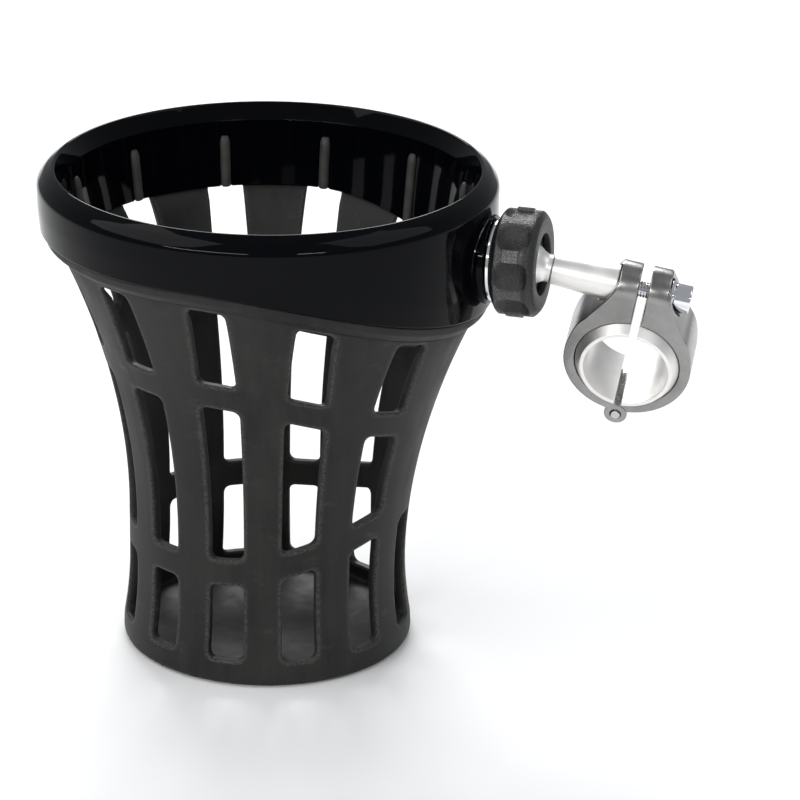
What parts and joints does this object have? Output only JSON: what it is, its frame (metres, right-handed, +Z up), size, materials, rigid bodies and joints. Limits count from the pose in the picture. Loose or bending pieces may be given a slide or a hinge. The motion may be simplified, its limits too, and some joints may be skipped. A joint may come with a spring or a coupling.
{
  "type": "handlebar cup holder",
  "caption": "Cup holder for a handlebar: a slotted soft basket under a gloss trim ring, on a ball joint with a hand knob, an arm and a hinged two-piece bar clamp.",
  "frame": {"origin": "centre of the clamp's bore, on the axis of the bar that it grips, halfway along the jaws", "axes": "+Z up, parallel to the cup's own axis; +X from the cup towards the clamp; +Y away from the side the drinker sees. The bar runs along (0.212, 0.918, 0.334)."},
  "size_m": [0.1982, 0.1386, 0.1516],
  "materials": {
    "gloss_black": "polished piano-black moulding",
    "soft_black": "matte moulded rubber, faintly mottled and scuffed",
    "rib_rubber": "matte soft rubber",
    "knob_black": "coarse moulded grain",
    "chrome": "bright plated",
    "satin_aluminium": "satin, fine turned grain",
    "pearl_aluminium": "satin grey anodised",
    "steel": "bright zinc",
    "nylon": "smooth moulded"
  },
  "bodies": {
    "clamp": {"fixed_jaw": "pearl_aluminium", "hinge_pin": "steel", "fixed_liner": "satin_aluminium"},
    "swing_jaw": {"swing_jaw": "pearl_aluminium", "swing_liner": "satin_aluminium"},
    "washer": {"lock_washer": "chrome"},
    "screw": {"pinch_screw": "chrome"},
    "arm": {"arm": "satin_aluminium"},
    "seat": {"ball_seat": "nylon"},
    "holder": {"trim_ring": "gloss_black", "basket": "soft_black", "socket_body": "chrome", "socket_screw_1": "steel", "socket_screw_2": "steel", "socket_screw_3": "steel", "socket_screw_4": "steel", "grip_rib_01": "rib_rubber", "grip_rib_02": "rib_rubber", "grip_rib_03": "rib_rubber", "grip_rib_04": "rib_rubber", "grip_rib_05": "rib_rubber", "grip_rib_06": "rib_rubber", "grip_rib_07": "rib_rubber", "grip_rib_08": "rib_rubber", "grip_rib_09": "rib_rubber", "grip_rib_10": "rib_rubber", "grip_rib_11": "rib_rubber", "grip_rib_12": "rib_rubber"},
    "collet": {"compression_ring": "knob_black"},
    "knob": {"knob": "knob_black"}
  },
  "joints": [
    {"name": "screw_travel", "type": "slide", "parent": "clamp", "child": "washer", "axis": [0.9713, -0.1603, -0.1758], "range_m": [0, 0.0016]},
    {"name": "screw_turn", "type": "hinge", "parent": "washer", "child": "screw", "pos_m": [0.00248, -0.00831, 0.0213], "axis": [0.9713, -0.1603, -0.1758], "range_deg": [0, 720]},
    {"name": "jaw_swing", "type": "hinge", "parent": "clamp", "child": "swing_jaw", "pos_m": [-0.00222, 0.00745, -0.01908], "axis": [0.212, 0.9185, 0.3338], "range_deg": [0, 2.15]},
    {"name": "arm_swivel", "type": "hinge", "parent": "clamp", "child": "arm", "pos_m": [0.00248, -0.00831, 0.0213], "axis": [0.9713, -0.1603, -0.1758], "range_deg": [-180, 180]},
    {"name": "ball_pitch", "type": "hinge", "parent": "arm", "child": "seat", "pos_m": [-0.03248, -0.00254, 0.02763], "axis": [0.1629, 0.9866, 0], "range_deg": [-7, 27]},
    {"name": "ball_yaw", "type": "hinge", "parent": "seat", "child": "holder", "pos_m": [-0.03248, -0.00254, 0.02763], "axis": [0, 0, 1], "range_deg": [-9, 24]},
    {"name": "knob_advance", "type": "slide", "parent": "holder", "child": "collet", "axis": [0.9563, -0.2924, 0], "range_m": [0, 0.00125]},
    {"name": "knob_turn", "type": "hinge", "parent": "collet", "child": "knob", "pos_m": [-0.03248, -0.00254, 0.02763], "axis": [0.9563, -0.2924, 0], "range_deg": [0, 360]}
  ],
  "couplings": [
    {"joint": "screw_turn", "follows": "screw_travel", "rad_per_m": 7854},
    {"joint": "jaw_swing", "follows": "screw_travel", "rad_per_m": 22.936},
    {"joint": "knob_advance", "follows": "knob_turn", "m_per_rad": 0.00019894}
  ]
}
